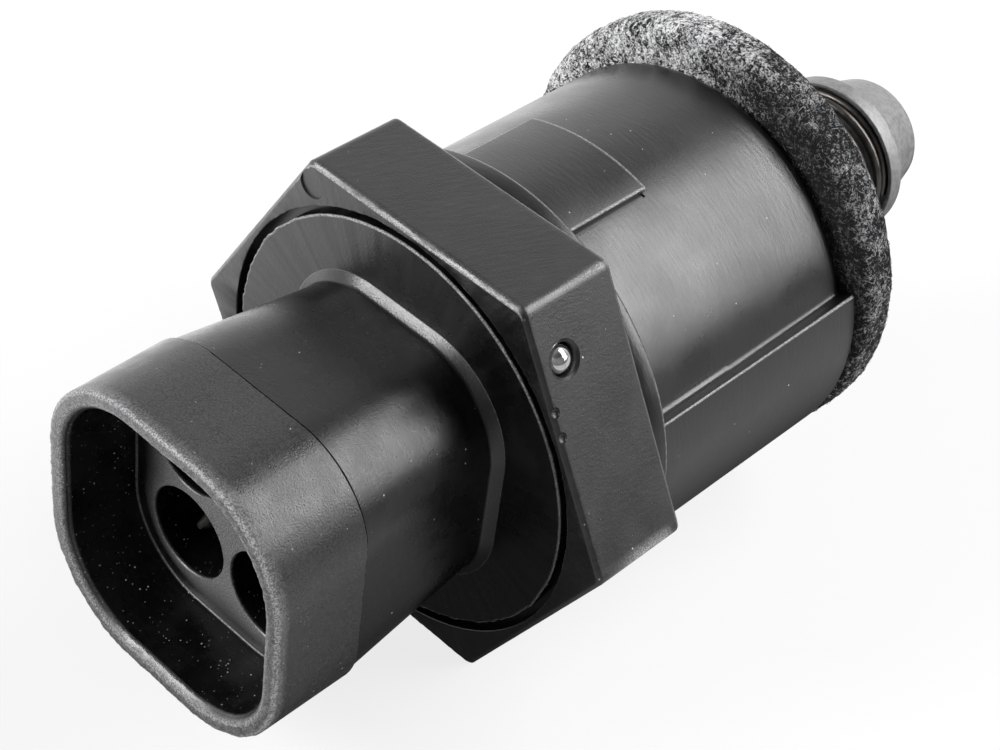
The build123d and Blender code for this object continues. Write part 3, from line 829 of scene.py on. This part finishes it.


# How much painted shade darkens the felt: 1 beside the can on the right side, less at the rim, and 0 on the
# left
def feltPaintedShade(tree, f):
    parts = splitPlace(tree, objectPlace(tree))
    rise = mathNode(tree, "SUBTRACT", parts["Z"], f["lift"] * mm)
    across = [mathNode(tree, "POWER", value, 2.0) for value in (parts["Y"], rise)]
    away = mathNode(tree, "SQRT", mathNode(tree, "ADD", *across))
    near, far = f["innerPaintedShade"]
    inner = rampNode(tree, away, near * mm, far * mm, 1.0, f["innerLeast"])
    right, left = f["sidePaintedShade"]
    side = rampNode(tree, parts["Y"], right * mm, left * mm, 1.0, 0.0)
    return mathNode(tree, "MULTIPLY", inner, side, clamp=True)


# Mixes in painted shade: where it falls, the pale tone darkens and more of the speckle turns black
def feltColor(tree, shade, value, shift, ramp, tones):
    pale, paintedShadeTone, black = tones
    mask = rampNode(tree, mathNode(tree, "SUBTRACT", value, mathNode(tree, "MULTIPLY", shade, shift)), *ramp)
    return mixColor(tree, mask, black, mixColor(tree, shade, pale, paintedShadeTone))


def makeFelt(f):
    material, tree, shader = newMaterial("heatherFelt")
    place = objectPlace(tree)
    blend = weightedSum(tree, [
        (noiseAt(tree, place, scale, **settings), share) for scale, share, settings in f["layers"]
    ])
    color = feltColor(tree, feltPaintedShade(tree, f), blend, f["paintedShadeShift"], f["paleRamp"], f["tones"])
    tree.links.new(color, shader.inputs["Base Color"])
    shader.inputs["Roughness"].default_value = 0.95
    shader.inputs["Specular IOR Level"].default_value = 0.15
    addBump(tree, shader, blend, f["bump"], f["bumpDepth"])
    return material


def makeFibre(f):
    material, tree, shader = newMaterial("feltFibre")
    tone = addNode(tree, "ShaderNodeAttribute", attribute_name="fibreTone").outputs["Fac"]
    color = feltColor(tree, feltPaintedShade(tree, f), tone, f["fibrePaintedShadeShift"], f["fibreRamp"], f["fibreTones"])
    tree.links.new(color, shader.inputs["Base Color"])
    shader.inputs["Roughness"].default_value = 0.7
    shader.inputs["Specular IOR Level"].default_value = 0.25
    return material


def buildFelt(f):
    angles = np.linspace(0, 2 * math.pi, f["around"], endpoint=False)
    end = f["start"] + f["thickness"]
    top = f["radius"] - f["edge"]
    section = []
    for centre, first in ((f["start"] + f["edge"], 180), (end - f["edge"], 90)):
        for k in range(9):
            t = math.radians(first - 90 * k / 8)
            section.append((centre + f["edge"] * math.cos(t), top + f["edge"] * math.sin(t)))
    section += [(end, top + (f["bore"] - top) * k / 16) for k in range(1, 17)]
    section += [(end - f["thickness"] * k / 8, f["bore"]) for k in range(1, 9)]
    section += [(f["start"], f["bore"] + (top - f["bore"]) * k / 16) for k in range(1, 16)]
    mesh, _ = loftRings([{"x": x, "r": r} for x, r in section], angles, closed=True)
    mesh.normal_update()
    for vertex in mesh.verts:
        swell = noise.noise(vertex.co * f["lumpScale"])
        swell += f["fineShare"] * noise.noise(vertex.co * f["fineRatio"] * f["lumpScale"])
        inside = min(1.0, max(0.0, (vertex.co.x / mm - f["start"]) / f["flatReach"]))
        free = f["flatShare"] + (1 - f["flatShare"]) * inside
        vertex.co += vertex.normal * swell * f["lumps"] * mm * free
    bmesh.ops.translate(mesh, verts=mesh.verts, vec=Vector((0, 0, f["lift"] * mm)))
    return finishPiece("feltRing", mesh, makeFelt(f), 180)


# Node trees that make repeats: inputs by name, and their values set by identifier
def makeTree(name, inputs):
    tree = bpy.data.node_groups.new(name, "GeometryNodeTree")
    tree.interface.new_socket("Geometry", in_out="INPUT", socket_type="NodeSocketGeometry")
    for label, kind in inputs:
        tree.interface.new_socket(label, in_out="INPUT", socket_type=kind)
    tree.interface.new_socket("Geometry", in_out="OUTPUT", socket_type="NodeSocketGeometry")
    return tree, addNode(tree, "NodeGroupInput").outputs, addNode(tree, "NodeGroupOutput").inputs[0]


def tubeAlong(tree, curve, radius, sides):
    ring = addNode(tree, "GeometryNodeCurvePrimitiveCircle")
    ring.inputs["Resolution"].default_value = sides
    tree.links.new(radius, ring.inputs["Radius"])
    tube = addNode(tree, "GeometryNodeCurveToMesh")
    tree.links.new(curve, tube.inputs["Curve"])
    tree.links.new(ring.outputs["Curve"], tube.inputs["Profile Curve"])
    tube.inputs["Fill Caps"].default_value = True
    return tube.outputs["Mesh"]


def realizeDressed(tree, geometry, material, result):
    real = addNode(tree, "GeometryNodeRealizeInstances")
    tree.links.new(geometry, real.inputs["Geometry"])
    dress = addNode(tree, "GeometryNodeSetMaterial")
    dress.inputs["Material"].default_value = material
    tree.links.new(real.outputs["Geometry"], dress.inputs["Geometry"])
    tree.links.new(dress.outputs["Geometry"], result)


def growPiece(name, tree, source, values):
    data = source.copy() if source else bpy.data.meshes.new(name)
    piece = placeObject(name, data)
    grow = piece.modifiers.new("grow", "NODES")
    grow.node_group = tree
    for item in tree.interface.items_tree:
        if item.in_out == "INPUT" and item.name in values:
            grow[item.identifier] = values[item.name]
    bakeModifiers(piece)
    piece.data.name = name
    return piece


def makeFibreTree(material):
    tree, given, result = makeTree("feltFibres", [
        ("Per Area", "NodeSocketFloat"), ("Length", "NodeSocketFloat"), ("Width", "NodeSocketFloat"),
        ("Seed", "NodeSocketInt"),
    ])
    link = tree.links.new
    scatter = addNode(tree, "GeometryNodeDistributePointsOnFaces", distribute_method="RANDOM")
    link(given["Geometry"], scatter.inputs["Mesh"])
    link(given["Per Area"], scatter.inputs["Density"])
    link(given["Seed"], scatter.inputs["Seed"])
    hair = addNode(tree, "GeometryNodeCurveQuadraticBezier")
    hair.inputs["Resolution"].default_value = 3
    for name, x, z in (("Start", -0.5, -0.03), ("Middle", 0.0, 0.14), ("End", 0.5, -0.03)):
        point = addNode(tree, "ShaderNodeCombineXYZ")
        link(mathNode(tree, "MULTIPLY", given["Length"], x), point.inputs["X"])
        link(mathNode(tree, "MULTIPLY", given["Length"], z), point.inputs["Z"])
        link(point.outputs[0], hair.inputs[name])
    tube = tubeAlong(tree, hair.outputs["Curve"], given["Width"], 3)
    swing = addNode(tree, "FunctionNodeRandomValue", data_type="FLOAT_VECTOR")
    swing.inputs[0].default_value = (-0.2, -0.3, 0.0)
    swing.inputs[1].default_value = (0.2, 0.3, 2 * math.pi)
    link(given["Seed"], swing.inputs["Seed"])
    turned = addNode(tree, "FunctionNodeEulerToRotation")
    link(swing.outputs[0], turned.inputs[0])
    lean = addNode(tree, "FunctionNodeRotateRotation", rotation_space="LOCAL")
    link(scatter.outputs["Rotation"], lean.inputs[0])
    link(turned.outputs[0], lean.inputs[1])
    grow = addNode(tree, "FunctionNodeRandomValue", data_type="FLOAT")
    grow.inputs[2].default_value = 0.5
    grow.inputs[3].default_value = 1.3
    link(given["Seed"], grow.inputs["Seed"])
    place = addNode(tree, "GeometryNodeInstanceOnPoints")
    link(scatter.outputs["Points"], place.inputs["Points"])
    link(tube, place.inputs["Instance"])
    link(lean.outputs[0], place.inputs["Rotation"])
    link(grow.outputs[1], place.inputs["Scale"])
    tone = addNode(tree, "FunctionNodeRandomValue", data_type="FLOAT")
    link(mathNode(tree, "ADD", given["Seed"], 5), tone.inputs["Seed"])
    store = addNode(tree, "GeometryNodeStoreNamedAttribute", data_type="FLOAT", domain="INSTANCE")
    store.inputs["Name"].default_value = "fibreTone"
    link(place.outputs["Instances"], store.inputs["Geometry"])
    link(tone.outputs[1], store.inputs["Value"])
    realizeDressed(tree, store.outputs["Geometry"], material, result)
    return tree


feltRing = buildFelt(felt)
feltArea = sum(face.area for face in feltRing.data.polygons)
feltFibres = growPiece("feltFibres", makeFibreTree(makeFibre(felt)), feltRing.data, {
    "Per Area": felt["fibres"] / feltArea, "Length": felt["fibreLength"] * mm,
    "Width": felt["fibreWidth"] * mm, "Seed": felt["seed"],
})
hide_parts("felt_gasket")
for piece in (feltRing, feltFibres):
    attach(piece, "felt")
print("felt:", len(feltRing.data.polygons), "faces,", len(feltFibres.data.polygons), "in its fibres")


# Spring between the bush and the cap, with a closed turn at each end
spring = {
    "turns": 11.5, "closedTurns": 1.0, "radius": 6.1, "wire": 0.4, "start": 25.92, "end": 43.68,
    "perTurn": 44, "wireSides": 14,
}


def makeSpringTree(material):
    tree, given, result = makeTree("springCoil", [
        ("Turns", "NodeSocketFloat"), ("Closed Turns", "NodeSocketFloat"), ("Radius", "NodeSocketFloat"),
        ("Wire", "NodeSocketFloat"), ("Start", "NodeSocketFloat"), ("Length", "NodeSocketFloat"),
        ("Points", "NodeSocketInt"),
    ])
    link = tree.links.new
    line = addNode(tree, "GeometryNodeCurvePrimitiveLine")
    points = addNode(tree, "GeometryNodeResampleCurve")
    link(line.outputs["Curve"], points.inputs["Curve"])
    link(given["Points"], points.inputs["Count"])
    along = addNode(tree, "GeometryNodeSplineParameter").outputs["Factor"]
    angle = mathNode(tree, "MULTIPLY", mathNode(tree, "MULTIPLY", along, given["Turns"]), 2 * math.pi)
    share = mathNode(tree, "DIVIDE", given["Closed Turns"], given["Turns"])
    closed = mathNode(tree, "MULTIPLY", mathNode(tree, "MULTIPLY", given["Wire"], 2.0), given["Closed Turns"])
    openLength = mathNode(tree, "SUBTRACT", given["Length"], mathNode(tree, "MULTIPLY", closed, 2.0))
    rest = mathNode(tree, "SUBTRACT", 1.0, share)
    place = given["Start"]
    for low, high, gain in ((0.0, share, closed), (share, rest, openLength), (rest, 1.0, closed)):
        place = mathNode(tree, "ADD", place, rampNode(tree, along, low, high, 0.0, gain, smooth=False))
    spot = addNode(tree, "ShaderNodeCombineXYZ")
    link(place, spot.inputs["X"])
    link(mathNode(tree, "MULTIPLY", mathNode(tree, "COSINE", angle), given["Radius"]), spot.inputs["Y"])
    link(mathNode(tree, "MULTIPLY", mathNode(tree, "SINE", angle), given["Radius"]), spot.inputs["Z"])
    wind = addNode(tree, "GeometryNodeSetPosition")
    link(points.outputs["Curve"], wind.inputs["Geometry"])
    link(spot.outputs[0], wind.inputs["Position"])
    tube = tubeAlong(tree, wind.outputs["Geometry"], given["Wire"], spring["wireSides"])
    realizeDressed(tree, tube, material, result)
    return tree


pintleSpring = growPiece("pintleSpring", makeSpringTree(finishes["spring_steel"]), None, {
    "Turns": spring["turns"], "Closed Turns": spring["closedTurns"], "Radius": spring["radius"] * mm,
    "Wire": spring["wire"] * mm, "Start": spring["start"] * mm,
    "Length": (spring["end"] - spring["start"]) * mm, "Points": int(spring["turns"] * spring["perTurn"]),
})
for face in pintleSpring.data.polygons:
    face.use_smooth = len(face.vertices) == 4
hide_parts("pintle_spring")
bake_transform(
    pintleSpring, "housing", "pintle", start=(spring["start"] * mm, 0, 0), end=(spring["end"] * mm, 0, 0)
)
print("spring:", len(pintleSpring.data.polygons), "faces")


# Pintle cap: flange with a recess for the spring, and the tapered nose
pintleNose = {
    "rear": 43.4, "flange": 7.1, "flangeEnd": 45.0, "root": 6.3,
    "tip": 50.35, "tipRadius": 4.85, "tipEdge": 0.8, "tipInner": 0.6,
    "recess": 0.7, "recessRadius": 6.75, "hub": 3.6, "bore": 2.02, "boreEnd": 47.4, "points": 180,
}


def buildNose(p):
    angles = np.linspace(0, 2 * math.pi, p["points"], endpoint=False)
    stations = [
        {"x": p["boreEnd"], "r": p["bore"]},
        {"x": p["rear"], "r": p["bore"], "edge": 0.1},
        {"x": p["rear"], "r": p["hub"], "edge": 0.1},
        {"x": p["rear"] + p["recess"], "r": p["hub"]},
        {"x": p["rear"] + p["recess"], "r": p["recessRadius"]},
        {"x": p["rear"], "r": p["recessRadius"], "edge": 0.06},
        {"x": p["rear"], "r": p["flange"], "edge": 0.12},
        {"x": p["flangeEnd"], "r": p["flange"], "edge": 0.3},
        {"x": p["flangeEnd"], "r": p["root"], "edge": 0.12},
        {"x": p["tip"], "r": p["tipRadius"], "edge": p["tipEdge"]},
        {"x": p["tip"], "r": p["tipInner"]},
    ]
    mesh, grid = loftRings(stations, angles, closed=False, seed=21, arcSteps=6)
    mesh.faces.new(grid[0])
    mesh.faces.new(grid[-1])
    return evenShading(finishPiece("noseCap", mesh, finishes["cast_metal"], 60))


noseCap = buildNose(pintleNose)
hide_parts("pintle_cap")
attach(noseCap, "pintle")
print("nose cap:", len(noseCap.data.polygons), "faces")


# Floor, lamps and world
studio = {
    "floorSize": 6.0, "floorTone": 0.85, "floorShown": 0.8,
    # Painted shadow and painted light on the floor, seen only in reflections
    "mirrorPaintedShadow": 0.08, "mirrorPaintedLight": 1.8, "mirrorSweep": (0.005, 0.045),
    "mirrorFar": 0.75, "farSweep": (-0.035, -0.012), "mirrorEnd": 0.2, "endSweep": (-0.3, -0.12),
    "away": 0.9,
    "boxes": (
        {"toward": (0.575, -0.457, 0.678), "along": (0, -0.829, -0.559), "size": (0.88, 0.40),
         "radiance": 9.0},
        {"toward": (-0.708, 0.492, 0.50), "along": (0.57, 0.82, 0), "size": (0.44, 0.28), "radiance": 20.0},
        {"toward": (0.62, -0.76, 0.21), "along": (0.78, 0.62, 0), "size": (0.5, 0.10), "radiance": 5.5},
    ),
    "ambient": 0.2, "overhead": 0.3, "horizon": 1.35, "sweep": (0.50, 0.80),
    "rightDim": 0.2, "rightSweep": (-0.5, 0.15),
}


# 1 for what shows in a mirror or through glass
def mirroredRay(tree, path):
    return mathNode(tree, "ADD", path["Is Glossy Ray"], path["Is Transmission Ray"], clamp=True)


def makeFloor(s, level):
    data = bpy.data.meshes.new("floor")
    half = s["floorSize"] / 2
    corners = [(-half, -half, level), (half, -half, level), (half, half, level), (-half, half, level)]
    data.from_pydata(corners, [], [(0, 1, 2, 3)])
    floor = placeObject("floor", data)
    material, tree, shader = newMaterial("paleFloor")
    shader.inputs["Base Color"].default_value = (s["floorTone"], s["floorTone"], s["floorTone"], 1)
    shader.inputs["Roughness"].default_value = 0.8
    shader.inputs["Specular IOR Level"].default_value = 0.1
    light = addNode(tree, "ShaderNodeEmission")
    path = addNode(tree, "ShaderNodeLightPath").outputs
    across = splitPlace(tree, objectPlace(tree))["Y"]
    # Painted shadow and painted light, seen only in reflections: the floor glows dark under the valve and
    # brighter than white on its far side
    mirrored = mirroredRay(tree, path)
    paintedMirrorGlow = rampNode(tree, across, *s["mirrorSweep"], s["mirrorPaintedShadow"], s["mirrorPaintedLight"])
    far = rampNode(tree, across, *s["farSweep"], s["mirrorFar"], s["mirrorPaintedShadow"])
    end = rampNode(tree, across, *s["endSweep"], s["mirrorEnd"], s["mirrorFar"])
    paintedMirrorGlow = mathNode(tree, "MAXIMUM", paintedMirrorGlow, mathNode(tree, "MINIMUM", far, end))
    tree.links.new(rampNode(tree, mirrored, 0.0, 1.0, 1.0, paintedMirrorGlow), light.inputs["Strength"])
    blend = addNode(tree, "ShaderNodeMixShader")
    seen = mathNode(tree, "MULTIPLY", path["Is Camera Ray"], s["floorShown"])
    tree.links.new(mathNode(tree, "ADD", seen, mirrored, clamp=True), blend.inputs[0])
    tree.links.new(shader.outputs[0], blend.inputs[1])
    tree.links.new(light.outputs[0], blend.inputs[2])
    tree.links.new(blend.outputs[0], tree.nodes["Material Output"].inputs["Surface"])
    data.materials.append(material)


def makeLights(s):
    for number, box in enumerate(s["boxes"]):
        data = bpy.data.lights.new("softbox" + str(number), "AREA")
        data.shape = "RECTANGLE"
        data.size, data.size_y = box["size"]
        data.energy = box["radiance"] * math.pi * box["size"][0] * box["size"][1]
        lamp = placeObject("softbox" + str(number), data)
        toward = Vector(box["toward"]).normalized()
        across = toward.cross(Vector(box["along"])).normalized()
        turn = Matrix((across.cross(toward), across, toward)).transposed()
        lamp.matrix_world = Matrix.Translation(toward * s["away"]) @ turn.to_4x4()


def makeWorld(s):
    world = bpy.data.worlds.new("studio")
    bpy.context.scene.world = world
    world.use_nodes = True
    tree = world.node_tree
    tree.nodes.clear()
    path = addNode(tree, "ShaderNodeLightPath").outputs
    parts = splitPlace(tree, addNode(tree, "ShaderNodeTexCoord").outputs["Generated"])
    sweep = rampNode(tree, parts["Z"], *s["sweep"], s["horizon"], s["overhead"])
    side = rampNode(tree, parts["Y"], *s["rightSweep"], s["rightDim"], 1.0)
    sweep = mathNode(tree, "MULTIPLY", sweep, side)
    strength = rampNode(tree, mirroredRay(tree, path), 0.0, 1.0, s["ambient"], sweep)
    strength = mathNode(tree, "MAXIMUM", strength, path["Is Camera Ray"])
    sky = addNode(tree, "ShaderNodeBackground")
    tree.links.new(strength, sky.inputs["Strength"])
    sky.inputs["Color"].default_value = (1, 1, 1, 1)
    out = addNode(tree, "ShaderNodeOutputWorld")
    tree.links.new(sky.outputs[0], out.inputs[0])


makeFloor(studio, cadLow.z)
makeLights(studio)
makeWorld(studio)
bpy.context.scene.view_settings.view_transform = "Standard"
print("studio set")
